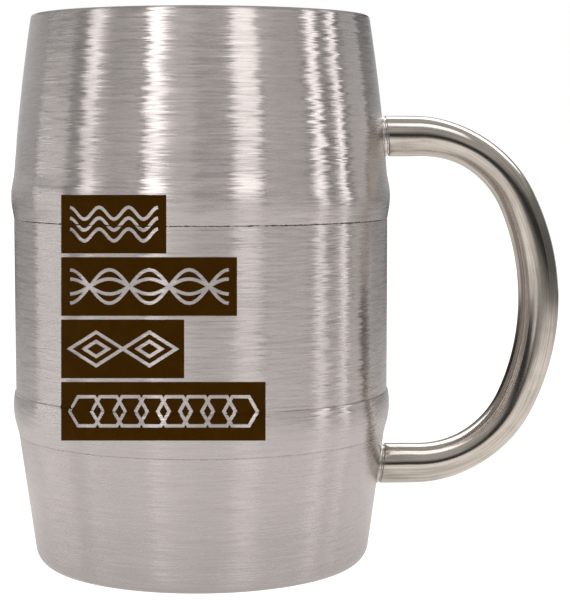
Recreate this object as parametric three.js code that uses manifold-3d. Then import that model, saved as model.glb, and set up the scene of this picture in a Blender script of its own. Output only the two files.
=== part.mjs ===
// A barrel-shaped, double-walled steel drinking mug with a bent tube handle.
// Millimetres, +Z up. Heights below are measured from the foot that the mug stands on;
// the finished group is lowered so that the middle of the base plate's underside is the origin.
import * as THREE from 'three';
import { mergeVertices } from 'three/addons/utils/BufferGeometryUtils.js';
import Module from 'manifold-3d';

const wasm = await Module();
wasm.setup();

// ---- driving dimensions -------------------------------------------------------------------
const HEIGHT = 120.1; // foot to lip
const BAND_R = 40.9; // outside radius of the plain middle band
const SEGMENTS = 48; // steps of every round piece, so that nested rings keep even gaps

// outer shell: radii are given by how far they lie inside or outside the middle band
const SHEET = 0.6; // thickness of every pressed steel sheet
const HOOP_RISE = 0.57; // crest of the two hoops above the middle band
const HOOP_ARC_R = 15;
const LOWER_HOOP_Z = 35.4;
const LOWER_CREASE_Z = 38.5;
const CREASE_STEP = 0.1; // height over which the lower hoop steps in to the band
const UPPER_CREASE_Z = 76.2;
const UPPER_HOOP_Z = 80.95;
const UPPER_ROUND_HALF = 2.65; // the upper hoop is round this far above and below its crest
const HOOP_LEAD_SLOPE = 0.263; // rise of the lower hoop's lead-in over its height
const HOOP_LEAD_Z = 29.2;
const SHOULDER_Z = 85.8;
const SHOULDER_DROP = 0.12;
const LIP_DROP = 4.02;
const LIP_AIR_GAP = 0.38; // between the two walls at the mouth
const CONE_BULGE = 0.32; // how far the upper cone swells between shoulder and lip
const FOOT_ROUND = 4.3;
const FOOT_DROP = 8.3; // centre of the foot's round inside the middle band
const FOOT_LAND = 1.6; // flat width that the mug stands on

// inner liner
const LINER_TAPER = 1.7; // floor radius below mouth radius
const LINER_CORNER = 8;
const LINER_FLOOR_Z = 8.6;

// fits
const RING_GAP = 0.05; // between concentric pieces
const JOINT_GAP = 0.1; // between the handle and the shell it is welded to

// base
const PLATE_FOLD = 1.4; // how far the plate runs over the foot's turned-in edge
const PLATE_PRESS = 0.35; // the middle of the plate is pressed up by this much
const PRESS_RIM = 0.6; // width of the sloping step around the pressed middle
const BEAD = 0.55; // leg of the base weld's fillet
const BEAD_MARGIN = 0.6; // flat left between the weld and the step

// handle
const TUBE_R = 4.47;
const TUBE_WALL = 0.8;
const TUBE_SIDES = 20;
const TUBE_STEPS = 44;
const HANDLE_MID_Z = 57.65;
const HANDLE_HALF_SPAN = 36.42; // leg centre lines above and below the middle
const FINGER_ROOM = 29.6; // middle band to the inside of the grip
const CORNER_R = 24.7;
const CORNER_TURN = THREE.MathUtils.degToRad(64.6);
const WELD_THICK = 0.45;
const END_PLATE_THICK = 0.4;
const END_PLATE_INSET = 0.3;

// printed bars: flat artwork thrown on the barrel from a point in front of it
const THROW = { distance: 415.15, height: 94.16, pitch: 4.987, yaw: 2.54 };
const ART_DISTANCE = 374.2; // where the artwork's own sizes hold
const BAR_LEFT = -44.52;
const BAR_RIGHTS = [-23.65, -9.54, -20.07, -3.86];
const BAR_TOP = 20.9;
const BAR_HEIGHT = 11.63;
const BAR_PITCH = 12.41;
const FILM = 0.15;

// ---- sizes that follow --------------------------------------------------------------------
const HOOP_R = BAND_R + HOOP_RISE;
const SHOULDER_R = BAND_R - SHOULDER_DROP;
const LIP_R = BAND_R - LIP_DROP;
const LIP_ROUND = SHEET + LIP_AIR_GAP / 2;
const LIP_BASE_Z = HEIGHT - LIP_ROUND;
const FOOT_R = BAND_R - FOOT_DROP;
const FOOT_EDGE_R = FOOT_R - FOOT_LAND;
const MOUTH_R = LIP_R - 2 * LIP_ROUND;
const PLATE_Z = SHEET + RING_GAP; // underside of the base plate where it is seated

const STEEL = { color: 0xa39d99, metalness: 1, roughness: 0.34 };
const POLISHED = { color: 0xb9b4af, metalness: 1, roughness: 0.18 };
const PRINT = { color: 0x3a2206, metalness: 0, roughness: 0.6 };

const group = new THREE.Group();
group.position.z = -(PLATE_Z + PLATE_PRESS);

function place(name, geometry, finish) {
  const mesh = new THREE.Mesh(geometry, new THREE.MeshStandardMaterial(finish));
  mesh.name = name;
  group.add(mesh);
}

// ---- solids -------------------------------------------------------------------------------
// A closed outline of [radius, height], going up on its outside, turned about +Z.
function turned(outline) {
  const points = [...outline, outline[0]].map(([r, z]) => new THREE.Vector2(r, z));
  return new THREE.LatheGeometry(points, SEGMENTS).rotateX(Math.PI / 2);
}

function toSolid(geometry) {
  const bare = geometry.clone();
  bare.deleteAttribute('normal');
  bare.deleteAttribute('uv');
  const merged = mergeVertices(bare, 1e-4);
  const vertProperties = new Float32Array(merged.attributes.position.array);
  const triVerts = new Uint32Array(merged.index.array);
  return new wasm.Manifold(new wasm.Mesh({ numProp: 3, vertProperties, triVerts }));
}

function toGeometry(solid) {
  const mesh = solid.getMesh();
  const geometry = new THREE.BufferGeometry();
  geometry.setAttribute('position', new THREE.Float32BufferAttribute(mesh.vertProperties, 3));
  geometry.setIndex(new THREE.Uint32BufferAttribute(mesh.triVerts, 1));
  return geometry;
}

// Points of a round in the radius-height plane; angle 0 points outwards, 90 up.
function round(r, z, radius, from, to, steps) {
  return Array.from({ length: steps + 1 }, (_, i) => {
    const angle = THREE.MathUtils.degToRad(from + ((to - from) * i) / steps);
    return [r + radius * Math.cos(angle), z + radius * Math.sin(angle)];
  });
}

// ---- outer shell --------------------------------------------------------------------------
// Radius of a hoop's round at height z.
function hoopRadius(z, crestZ) {
  return HOOP_R - HOOP_ARC_R + Math.sqrt(HOOP_ARC_R ** 2 - (z - crestZ) ** 2);
}

function hoop(crestZ, from, to, steps) {
  return Array.from({ length: steps + 1 }, (_, i) => {
    const z = from + ((to - from) * i) / steps;
    return [hoopRadius(z, crestZ), z];
  });
}

function upperCone(steps) {
  return Array.from({ length: steps + 1 }, (_, i) => {
    const t = i / steps;
    const swell = CONE_BULGE * 4 * t * (1 - t);
    const r = THREE.MathUtils.lerp(SHOULDER_R, LIP_R, t) + swell;
    return [r, THREE.MathUtils.lerp(SHOULDER_Z, LIP_BASE_Z, t)];
  });
}

function lowerLead() {
  const startZ = LOWER_HOOP_Z - HOOP_ARC_R * Math.sin(Math.atan(HOOP_LEAD_SLOPE));
  const r = hoopRadius(startZ, LOWER_HOOP_Z) - HOOP_LEAD_SLOPE * (startZ - HOOP_LEAD_Z);
  return { startZ, r };
}

// The barrel's outside, from the end of the foot's round to the lip.
function barrelOutside() {
  const lead = lowerLead();
  return [
    [lead.r, HOOP_LEAD_Z],
    ...hoop(LOWER_HOOP_Z, lead.startZ, LOWER_CREASE_Z, 6),
    [BAND_R, LOWER_CREASE_Z + CREASE_STEP],
    [BAND_R, UPPER_CREASE_Z],
    ...hoop(UPPER_HOOP_Z, UPPER_HOOP_Z - UPPER_ROUND_HALF, UPPER_HOOP_Z + UPPER_ROUND_HALF, 5),
    ...upperCone(8),
  ];
}

// The foot's round ends where it runs into the lower cone.
const FOOT_END_ANGLE = -7.6;
const barrel = barrelOutside();
const outside = [...round(FOOT_R, FOOT_ROUND, FOOT_ROUND, -90, FOOT_END_ANGLE, 7), ...barrel];

// Outside radius of the shell at a height, along its straight steps.
function shellRadius(z) {
  const i = outside.findIndex((point) => point[1] > z);
  const [[r0, z0], [r1, z1]] = [outside[i - 1], outside[i]];
  return r0 + ((r1 - r0) * (z - z0)) / (z1 - z0);
}

function outerShell() {
  const innerRound = round(FOOT_R, FOOT_ROUND, FOOT_ROUND - SHEET, FOOT_END_ANGLE, -90, 5);
  const stops = [UPPER_HOOP_Z, UPPER_CREASE_Z, LOWER_CREASE_Z, LOWER_HOOP_Z, HOOP_LEAD_Z];
  const wall = stops.map((z) => [shellRadius(z) - SHEET, z]);
  const shoulder = [SHOULDER_R - SHEET, SHOULDER_Z];
  const lip = [LIP_R - SHEET, LIP_BASE_Z];
  const turnedIn = [[FOOT_EDGE_R, SHEET], [FOOT_EDGE_R, 0]];
  return turned([...outside, lip, shoulder, ...wall, ...innerRound, ...turnedIn]);
}

// ---- inner liner, lip and base ------------------------------------------------------------
const LINER_FLOOR_R = MOUTH_R - LINER_TAPER;
const LINER_TOP_Z = LIP_BASE_Z;

function innerLiner() {
  const cornerZ = LINER_FLOOR_Z + LINER_CORNER;
  const cornerR = LINER_FLOOR_R - LINER_CORNER;
  const underside = round(cornerR, cornerZ, LINER_CORNER + SHEET, -90, 0, 6);
  const inside = round(cornerR, cornerZ, LINER_CORNER, 0, -90, 6);
  const mouth = [[MOUTH_R + SHEET, LINER_TOP_Z], [MOUTH_R, LINER_TOP_Z]];
  return turned([[0, LINER_FLOOR_Z - SHEET], ...underside, ...mouth, ...inside, [0, LINER_FLOOR_Z]]);
}

// The rolled and polished ring that joins both walls at the mouth.
function lipRing() {
  const centreR = MOUTH_R + LIP_ROUND;
  return turned(round(centreR, LIP_BASE_Z + RING_GAP, LIP_ROUND - RING_GAP, 0, 180, 8));
}

// The plate that closes the foot from inside: it rests on the foot's turned-in edge, and its middle
// is pressed up.
function basePlate() {
  const r = FOOT_EDGE_R + PLATE_FOLD;
  const stepR = FOOT_EDGE_R - BEAD - BEAD_MARGIN;
  const pressedR = stepR - PRESS_RIM;
  const under = [[0, PLATE_Z + PLATE_PRESS], [pressedR, PLATE_Z + PLATE_PRESS], [stepR, PLATE_Z], [r, PLATE_Z]];
  const over = under.map(([x, z]) => [x, z + SHEET]).reverse();
  return turned([...under, ...over]);
}

function baseWeld() {
  const r = FOOT_EDGE_R - RING_GAP;
  const z = PLATE_Z - RING_GAP;
  return turned([[r, z - BEAD + RING_GAP], [r, z], [r - BEAD, z]]);
}

// ---- handle -------------------------------------------------------------------------------
const GRIP_REACH = BAND_R + FINGER_ROOM + TUBE_R;
const CORNER_WIDTH = CORNER_R * Math.sin(CORNER_TURN);
const CORNER_FALL = CORNER_R * (1 - Math.cos(CORNER_TURN));
const GRIP_R = (HANDLE_HALF_SPAN - CORNER_FALL) / Math.cos(CORNER_TURN);
const GRIP_WIDTH = GRIP_R * (1 - Math.sin(CORNER_TURN));
const LEG_END_X = GRIP_REACH - GRIP_WIDTH - CORNER_WIDTH;
const LEG_START_X = LIP_R - TUBE_R;

// Centre line of the handle: leg, corner, grip, corner, leg.
class HandleLine extends THREE.Curve {
  constructor() {
    super();
    const leg = LEG_END_X - LEG_START_X;
    const grip = GRIP_R * (Math.PI / 2 - CORNER_TURN);
    this.stops = [leg, leg + CORNER_R * CORNER_TURN, leg + CORNER_R * CORNER_TURN + grip];
  }

  getPoint(t, target = new THREE.Vector3()) {
    const [leg, corner, half] = this.stops;
    const along = Math.min(t, 1 - t) * 2 * half;
    const side = t < 0.5 ? 1 : -1;
    let x = LEG_START_X + along;
    let rise = HANDLE_HALF_SPAN;
    if (along > leg && along <= corner) {
      const angle = (along - leg) / CORNER_R;
      x = LEG_END_X + CORNER_R * Math.sin(angle);
      rise = HANDLE_HALF_SPAN - CORNER_R * (1 - Math.cos(angle));
    } else if (along > corner) {
      const angle = (half - along) / GRIP_R;
      x = GRIP_REACH - GRIP_R * (1 - Math.cos(angle));
      rise = GRIP_R * Math.sin(angle);
    }
    return target.set(x, 0, HANDLE_MID_Z + side * rise);
  }
}

// Block beside one leg's end: it holds what lies between two distances from the shell, square to
// the shell's wall at height z, and stops short of the other leg.
function besideShell(z, from, to) {
  const reach = HANDLE_HALF_SPAN;
  const lean = Math.atan2(shellRadius(z - TUBE_R) - shellRadius(z + TUBE_R), 2 * TUBE_R);
  const block = new THREE.BoxGeometry(to - from, reach, reach).translate((from + to) / 2, 0, 0);
  block.rotateY(-lean).translate(shellRadius(z), 0, z);
  return toSolid(block);
}

const TUBE_START = JOINT_GAP + WELD_THICK + END_PLATE_THICK + 2 * RING_GAP;

function handleTube() {
  const section = new THREE.Shape().absarc(0, 0, TUBE_R, 0, 2 * Math.PI);
  section.holes.push(new THREE.Path().absarc(0, 0, TUBE_R - TUBE_WALL, 0, 2 * Math.PI));
  const sweep = { steps: TUBE_STEPS, curveSegments: TUBE_SIDES / 2, extrudePath: new HandleLine() };
  let tube = toSolid(new THREE.ExtrudeGeometry(section, sweep));
  for (const side of [1, -1]) {
    tube = tube.subtract(besideShell(HANDLE_MID_Z + side * HANDLE_HALF_SPAN, -LIP_R, TUBE_START));
  }
  return toGeometry(tube);
}

// A round slice of the handle's leg, between two distances from the shell.
function legSlice(z, radius, from, to) {
  const rod = new THREE.CylinderGeometry(radius, radius, GRIP_REACH, TUBE_SIDES);
  rod.rotateZ(Math.PI / 2).translate(GRIP_REACH / 2 + LEG_START_X, 0, z);
  return toSolid(rod).intersect(besideShell(z, from, to));
}

function handleWeld(z) {
  const clear = outside.map(([r, height]) => [r + JOINT_GAP, height]);
  const shell = toSolid(turned([[0, 0], ...clear, [0, LIP_BASE_Z]]));
  return toGeometry(legSlice(z, TUBE_R, -TUBE_R, JOINT_GAP + WELD_THICK).subtract(shell));
}

function endPlate(z) {
  const from = JOINT_GAP + WELD_THICK + RING_GAP;
  return toGeometry(legSlice(z, TUBE_R - END_PLATE_INSET, from, from + END_PLATE_THICK));
}

// ---- printed bars -------------------------------------------------------------------------
// A block whose section is the artwork's rectangle, widening away from the throw point.
function thrownBlock(left, right, bottom, top) {
  const { distance, height, pitch, yaw } = THROW;
  const [near, far] = [distance - 2 * BAND_R, distance];
  const block = new THREE.BoxGeometry(right - left, far - near, top - bottom);
  block.translate((left + right) / 2, (near + far) / 2, (bottom + top) / 2);
  const at = block.attributes.position;
  for (let i = 0; i < at.count; i += 1) {
    const spread = at.getY(i) / ART_DISTANCE;
    at.setX(i, at.getX(i) * spread);
    at.setZ(i, at.getZ(i) * spread);
  }
  block.rotateX(-THREE.MathUtils.degToRad(pitch)).rotateZ(-THREE.MathUtils.degToRad(yaw));
  return toSolid(block.translate(0, -distance, height));
}

// The film that covers the barrel above its lower cone, from which the bars are cut.
function film() {
  const layer = (offset) => barrel.map(([r, z]) => [r + offset, z]);
  return toSolid(turned([...layer(RING_GAP + FILM), ...layer(RING_GAP).reverse()]));
}

// ---- assembly -----------------------------------------------------------------------------
place('outer_shell', outerShell(), STEEL);
place('inner_liner', innerLiner(), STEEL);
place('lip_ring', lipRing(), POLISHED);
place('base_plate', basePlate(), STEEL);
place('base_weld', baseWeld(), POLISHED);
place('handle_tube', handleTube(), POLISHED);
for (const [name, side] of [['upper', 1], ['lower', -1]]) {
  const z = HANDLE_MID_Z + side * HANDLE_HALF_SPAN;
  place(`handle_${name}_end_plate`, endPlate(z), POLISHED);
  place(`handle_${name}_weld`, handleWeld(z), POLISHED);
}
const barrelFilm = film();
BAR_RIGHTS.forEach((right, i) => {
  const top = BAR_TOP - i * BAR_PITCH;
  const bar = barrelFilm.intersect(thrownBlock(BAR_LEFT, right, top - BAR_HEIGHT, top));
  place(`printed_bar_${i + 1}`, toGeometry(bar), PRINT);
});

export default group;
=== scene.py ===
"""Barrel-shaped, double-walled steel drinking mug with a bent tube handle.

Metres, +Z up, the handle towards +X and the printed front towards -Y. Every sub-assembly is a
class that builds its own meshes and gives them their finish; heights are measured from the foot.
"""

import logging
import math
from contextlib import contextmanager
from dataclasses import dataclass, field
from enum import Enum
from functools import cached_property
from typing import Iterator, Sequence

import bpy
from mathutils import Euler, Matrix, Vector


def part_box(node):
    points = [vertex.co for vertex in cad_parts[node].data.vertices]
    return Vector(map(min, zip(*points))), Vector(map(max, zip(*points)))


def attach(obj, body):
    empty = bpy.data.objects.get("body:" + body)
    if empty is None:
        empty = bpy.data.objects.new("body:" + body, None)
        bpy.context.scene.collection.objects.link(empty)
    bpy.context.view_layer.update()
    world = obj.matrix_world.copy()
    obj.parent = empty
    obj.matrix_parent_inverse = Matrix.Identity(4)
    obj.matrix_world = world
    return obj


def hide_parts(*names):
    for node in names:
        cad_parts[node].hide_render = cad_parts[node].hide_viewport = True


logging.basicConfig(level=logging.INFO, format="%(levelname)s %(message)s")
LOG = logging.getLogger("mug")

Point = tuple[float, float]
Size = tuple[float, float, float]
MM = 0.001
MERGE = 2e-6
FULL_TURN = 2 * math.pi
ROUND_STEPS = 192
FINE_STEPS = 256

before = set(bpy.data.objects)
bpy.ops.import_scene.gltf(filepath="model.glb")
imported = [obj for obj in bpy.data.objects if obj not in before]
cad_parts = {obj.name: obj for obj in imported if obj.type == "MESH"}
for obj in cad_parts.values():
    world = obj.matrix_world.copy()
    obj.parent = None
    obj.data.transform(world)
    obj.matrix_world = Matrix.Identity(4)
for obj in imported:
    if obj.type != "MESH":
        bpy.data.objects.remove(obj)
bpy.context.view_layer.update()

SHELL_LOW, SHELL_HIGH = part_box("outer_shell")
FOOT_Z = SHELL_LOW.z
HOOP_R = SHELL_HIGH.x
LIP_BASE = SHELL_HIGH.z - FOOT_Z
GRIP_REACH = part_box("handle_tube")[1].x


# ---- modelling helpers ----------------------------------------------------------------------
def deselect() -> None:
    """Leaves nothing selected and no object in edit mode."""
    if bpy.context.object and bpy.context.object.mode != "OBJECT":
        bpy.ops.object.mode_set(mode="OBJECT")
    bpy.ops.object.select_all(action="DESELECT")


def pick(piece: bpy.types.Object) -> None:
    """Makes one object the only selected and active one.

    Args:
        piece: The object to work on.
    """
    deselect()
    piece.select_set(True)
    bpy.context.view_layer.objects.active = piece


@contextmanager
def editing(piece: bpy.types.Object) -> Iterator[None]:
    """Edit mode on one piece, all of it selected, for the length of a with block.

    Args:
        piece: The piece to work on.
    """
    pick(piece)
    bpy.ops.object.mode_set(mode="EDIT")
    bpy.ops.mesh.select_all(action="SELECT")
    yield
    bpy.ops.object.mode_set(mode="OBJECT")


def take_new(name: str) -> bpy.types.Object:
    """Names the primitive just added and applies its place, turn and size to its mesh.

    Args:
        name: Name of the new piece.

    Returns:
        The new piece.
    """
    piece = bpy.context.object
    piece.name = name
    bpy.ops.object.transform_apply(location=True, rotation=True, scale=True)
    return piece


def extrude(step: Sequence[float]) -> None:
    """Extrudes what is selected by a step."""
    bpy.ops.mesh.extrude_region_move(TRANSFORM_OT_translate={"value": step})


def close_up() -> None:
    """Merges the doubles of the mesh in edit mode and turns its faces outwards."""
    bpy.ops.mesh.select_all(action="SELECT")
    bpy.ops.mesh.remove_doubles(threshold=MERGE)
    bpy.ops.mesh.normals_make_consistent(inside=False)


def cut_along(place: Sequence[float], normal: Sequence[float], clear: bool = False) -> None:
    """Cuts what is selected in edit mode along a plane.

    Args:
        place: A point of the plane.
        normal: The plane's normal.
        clear: Whether what lies behind the plane is taken away.
    """
    bpy.ops.mesh.bisect(plane_co=place, plane_no=normal, clear_inner=clear)


def seed_point(name: str, place: Vector) -> bpy.types.Object:
    """Starts a piece from a plane merged into a single point, left selected in edit mode.

    Args:
        name: Name of the new piece.
        place: Where the point lies.

    Returns:
        The new object, in edit mode.
    """
    deselect()
    bpy.ops.mesh.primitive_plane_add(size=MM, location=(0, 0, 0))
    piece = bpy.context.object
    piece.name = name
    bpy.ops.object.mode_set(mode="EDIT")
    bpy.ops.mesh.merge(type="CENTER")
    bpy.ops.transform.translate(value=place)
    return piece


def draw_line(points: Sequence[Vector]) -> None:
    """Extrudes the selected point along a run of further points.

    Args:
        points: The run, the first of which is where the selected point already lies.
    """
    for before, after in zip(points, points[1:]):
        extrude(after - before)


def turn(name: str, outline: Sequence[Point], steps: int = ROUND_STEPS,
         closed: bool = True) -> bpy.types.Object:
    """Spins an outline about +Z into a closed solid.

    Args:
        name: Name of the new piece.
        outline: Radius and height above the foot of each corner.
        steps: Number of steps in the full turn.
        closed: Whether the outline runs back to its first point.

    Returns:
        The turned piece, smooth except at its creases.
    """
    run = [Vector((r, 0, z + FOOT_Z)) for r, z in outline]
    if closed:
        run.append(run[0])
    piece = seed_point(name, run[0])
    draw_line(run)
    bpy.ops.mesh.select_all(action="SELECT")
    bpy.ops.mesh.spin(steps=steps, angle=FULL_TURN, center=(0, 0, 0), axis=(0, 0, 1))
    close_up()
    smooth(piece)
    return piece


def smooth(piece: bpy.types.Object, angle: float = 38) -> None:
    """Shades a piece smooth across all but its sharp edges.

    Args:
        piece: The finished mesh.
        angle: Edges that turn more than this, in degrees, stay sharp.
    """
    pick(piece)
    bpy.ops.object.shade_smooth_by_angle(angle=math.radians(angle))
    deselect()


def apply_modifiers(piece: bpy.types.Object) -> None:
    """Applies a piece's modifiers in order.

    Args:
        piece: The piece that holds them.
    """
    pick(piece)
    for modifier in list(piece.modifiers):
        bpy.ops.object.modifier_apply(modifier=modifier.name)


def add_modifier(piece: bpy.types.Object, name: str, kind: str, **settings: object) -> None:
    """Adds a modifier to a piece.

    Args:
        piece: The piece.
        name: The modifier's name.
        kind: Its type.
        settings: Properties to set on it.
    """
    modifier = piece.modifiers.new(name, kind)
    for key, value in settings.items():
        setattr(modifier, key, value)


def round_points(r: float, z: float, radius: float, start: float, end: float, steps: int) -> list[Point]:
    """Points of a round in an outline.

    Args:
        r: Radius at which the round's centre lies.
        z: Height of its centre.
        radius: Radius of the round itself.
        start: First angle in degrees, 0 pointing outwards and 90 up.
        end: Last angle in degrees.
        steps: Number of steps along it.

    Returns:
        The points, both ends included.
    """
    angles = [math.radians(start + (end - start) * i / steps) for i in range(steps + 1)]
    return [(r + radius * math.cos(a), z + radius * math.sin(a)) for a in angles]


def straight(start: Point, end: Point, margin: float = 0.25 * MM) -> list[Point]:
    """A straight run of outline with a support point close to each end, to keep its shading true.

    Args:
        start: First point.
        end: Last point.
        margin: How far the support points lie from the ends.

    Returns:
        The four points.
    """
    a, b = Vector(start), Vector(end)
    step = (b - a).normalized() * margin
    return [tuple(p) for p in (a, a + step, b - step, b)]


# ---- shader helpers -------------------------------------------------------------------------
class Nodes:
    """Adds, sets and joins nodes in one node tree."""

    def __init__(self, tree: bpy.types.NodeTree) -> None:
        """Keeps the tree and starts from an empty one."""
        self.tree = tree
        tree.nodes.clear()

    def add(self, kind: str, inputs: dict[str, object] | None = None, **settings: object) -> bpy.types.Node:
        """Adds a node.

        Args:
            kind: Node type without its ShaderNode prefix, or a full type name.
            inputs: A socket or a constant for each input that is named.
            settings: Properties to set on it.

        Returns:
            The node.
        """
        full = kind if kind.startswith("NodeGroup") else "ShaderNode" + kind
        node = self.tree.nodes.new(full)
        for key, value in settings.items():
            setattr(node, key, value)
        for label, source in (inputs or {}).items():
            self.join(source, node.inputs[label])
        return node

    def join(self, source: object, target: bpy.types.NodeSocket) -> None:
        """Links a socket, or sets a constant, on a target socket.

        Args:
            source: The socket or the constant.
            target: The socket that takes it.
        """
        if isinstance(source, bpy.types.NodeSocket):
            self.tree.links.new(source, target)
        else:
            target.default_value = source

    def math(self, operation: str, *inputs: object, clamp: bool = False) -> bpy.types.NodeSocket:
        """Adds a Math node.

        Args:
            operation: What it does.
            inputs: Its sockets or numbers.
            clamp: Whether its result stays between 0 and 1.

        Returns:
            The result.
        """
        node = self.add("Math", operation=operation, use_clamp=clamp)
        for source, target in zip(inputs, node.inputs):
            self.join(source, target)
        return node.outputs[0]

    def scale(self, value: object, share: float) -> bpy.types.NodeSocket:
        """A number times a share."""
        return self.math("MULTIPLY", value, share)

    def vector(self, operation: str, *inputs: object) -> bpy.types.NodeSocket:
        """Adds a Vector Math node.

        Args:
            operation: What it does.
            inputs: Its sockets, vectors or scale.

        Returns:
            The result, a number for a dot product or a length.
        """
        node = self.add("VectorMath", operation=operation)
        targets = [node.inputs[0], node.inputs["Scale"]] if operation == "SCALE" else node.inputs
        for source, target in zip(inputs, targets):
            self.join(source, target)
        return node.outputs["Value" if operation in ("DOT_PRODUCT", "LENGTH") else "Vector"]

    def place(self) -> bpy.types.NodeSocket:
        """Where a point lies, in the piece's own coordinates."""
        return self.add("TexCoord").outputs["Object"]

    def around(self, place: bpy.types.NodeSocket) -> bpy.types.NodeSocket:
        """The direction round +Z at a place."""
        return self.vector("NORMALIZE", self.vector("CROSS_PRODUCT", (0, 0, 1), place))

    def noise(self, place: object, stretch: Sequence[float], detail: float = 2) -> bpy.types.NodeSocket:
        """Adds noise in stretched coordinates.

        Args:
            place: The coordinates.
            stretch: Grains per metre along X, Y and Z.
            detail: Levels of finer noise.

        Returns:
            The noise, between 0 and 1.
        """
        scaled = self.vector("MULTIPLY", place, tuple(stretch))
        return self.add("TexNoise", {"Scale": 1, "Detail": detail, "Vector": scaled}).outputs["Fac"]

    def ramp(self, value: object, low: float, high: float, out_low: float = 0,
             out_high: float = 1) -> bpy.types.NodeSocket:
        """Spreads the stretch between two limits smoothly over an output range.

        Args:
            value: What is spread.
            low: The lower limit.
            high: The upper limit.
            out_low: The result at and below the lower limit.
            out_high: The result at and above the upper limit.

        Returns:
            The result.
        """
        node = self.add("MapRange", interpolation_type="SMOOTHSTEP")
        for source, target in zip((value, low, high, out_low, out_high), node.inputs):
            self.join(source, target)
        return node.outputs[0]

    def blend(self, factor: object, first: object, second: object) -> bpy.types.NodeSocket:
        """Mixes two colours.

        Args:
            factor: How far towards the second.
            first: The first colour.
            second: The second colour.

        Returns:
            The mixed colour.
        """
        node = self.add("Mix", data_type="RGBA")
        for source, target in ((factor, 0), (first, 6), (second, 7)):
            self.join(source, node.inputs[target])
        return node.outputs[2]

    def bump(self, height: bpy.types.NodeSocket, depth: float, strength: float = 1) -> bpy.types.NodeSocket:
        """The normal of a surface raised by a height mask, which is worth a depth in metres."""
        inputs = {"Distance": depth, "Strength": strength, "Height": height}
        return self.add("Bump", inputs).outputs[0]

    def principled(self, **inputs: object) -> None:
        """Joins a Principled shader to the output.

        Args:
            inputs: A socket or a constant for each input, its name with _ for each space.
        """
        shader = self.add("BsdfPrincipled", {key.replace("_", " "): value for key, value in inputs.items()})
        self.join(shader.outputs[0], self.add("OutputMaterial").inputs[0])


def new_material(name: str) -> tuple[bpy.types.Material, Nodes]:
    """Starts a material.

    Args:
        name: Its name.

    Returns:
        The material and its empty node tree.
    """
    made = bpy.data.materials.new(name)
    made.use_nodes = True
    return made, Nodes(made.node_tree)


def new_group(name: str, inputs: dict[str, float], outputs: dict[str, str]) -> Nodes:
    """Starts a shader node group.

    Args:
        name: The group's name.
        inputs: Names and defaults of its number inputs.
        outputs: Names and kinds of its outputs, Float or Vector.

    Returns:
        The group's nodes, with its interface made.
    """
    tree = bpy.data.node_groups.new(name, "ShaderNodeTree")
    nodes = Nodes(tree)
    for label, default in inputs.items():
        socket = tree.interface.new_socket(label, in_out="INPUT", socket_type="NodeSocketFloat")
        socket.default_value = default
    for label, kind in outputs.items():
        tree.interface.new_socket(label, in_out="OUTPUT", socket_type=f"NodeSocket{kind}")
    return nodes


def grain_group() -> bpy.types.NodeTree:
    """Brushing that runs round +Z: fine lines, a few longer scratches and broad bands.

    Returns:
        A group with a normal that leans sideways, and up and down, from line to line, and masks of
        lines and bands.
    """
    inputs = {"Line Density": 3200, "Run": 220, "Lean": 0.17, "Depth": 0.4}
    n = new_group("brushed_grain", inputs, {"Lines": "Float", "Bands": "Float", "Normal": "Vector"})
    given = n.add("NodeGroupInput").outputs
    place = n.place()
    surface = n.add("NewGeometry").outputs["Normal"]

    def layer(density: float, run: float, detail: float, *parts: str) -> list[bpy.types.NodeSocket]:
        """Noises about zero drawn out along the brushing, at shares of the group's density and run."""
        across = n.scale(given["Line Density"], density)
        along = n.scale(given["Run"], run)
        stretch = n.add("CombineXYZ", {"X": along, "Y": along, "Z": across}).outputs[0]
        inputs = {"Scale": 1, "Detail": detail, "Vector": n.vector("MULTIPLY", place, stretch)}
        colour = n.add("TexNoise", inputs).outputs["Color"]
        split = n.add("SeparateColor", {"Color": colour}).outputs
        return [n.math("SUBTRACT", split[part], 0.5) for part in parts]

    sway, rise, fine = layer(1, 1, 2, "Red", "Green", "Blue")
    (long,) = layer(0.5, 0.2, 2, "Blue")
    (band,) = layer(0.04, 0.08, 2, "Red")
    (scratch,) = layer(0.8, 0.25, 1, "Red")
    lines = n.math("ADD", n.scale(fine, 0.8), n.scale(long, 0.4))
    scratched = n.math("SUBTRACT", n.math("ADD", lines, 0.5), n.scale(n.ramp(scratch, 0.16, 0.24), 0.2))

    side = n.around(place)
    up = n.vector("CROSS_PRODUCT", surface, side)
    leaning = surface
    for direction, noise, amount in ((side, sway, "Lean"), (up, rise, "Depth")):
        shift = n.vector("SCALE", direction, n.math("MULTIPLY", noise, given[amount]))
        leaning = n.vector("ADD", leaning, shift)
    normal = n.vector("NORMALIZE", leaning)
    n.add("NodeGroupOutput", {"Lines": scratched, "Bands": n.math("ADD", band, 0.5), "Normal": normal})
    return n.tree


def handling_group() -> bpy.types.NodeTree:
    """Marks of use: soft smears and short hairline scratches in every direction.

    Returns:
        A group with a smear mask and a hairline mask.
    """
    n = new_group("handling_marks", {"Size": 60}, {"Smears": "Float", "Hairlines": "Float"})
    scaled = n.vector("SCALE", n.place(), n.add("NodeGroupInput").outputs["Size"])
    cloud = n.add("TexNoise", {"Scale": 1, "Detail": 4, "Distortion": 0.6, "Vector": scaled}).outputs
    warped = n.vector("ADD", scaled, n.vector("SCALE", cloud["Color"], 0.5))
    cells = n.add("TexVoronoi", {"Scale": 14, "Vector": warped}, feature="DISTANCE_TO_EDGE")
    edge = n.ramp(cells.outputs["Distance"], 0.0, 0.025, 1, 0)
    broken = n.math("MULTIPLY", edge, n.ramp(cloud["Fac"], 0.52, 0.6))
    n.add("NodeGroupOutput", {"Smears": n.ramp(cloud["Fac"], 0.4, 0.7), "Hairlines": broken})
    return n.tree


GRAIN = grain_group()
HANDLING = handling_group()


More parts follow.
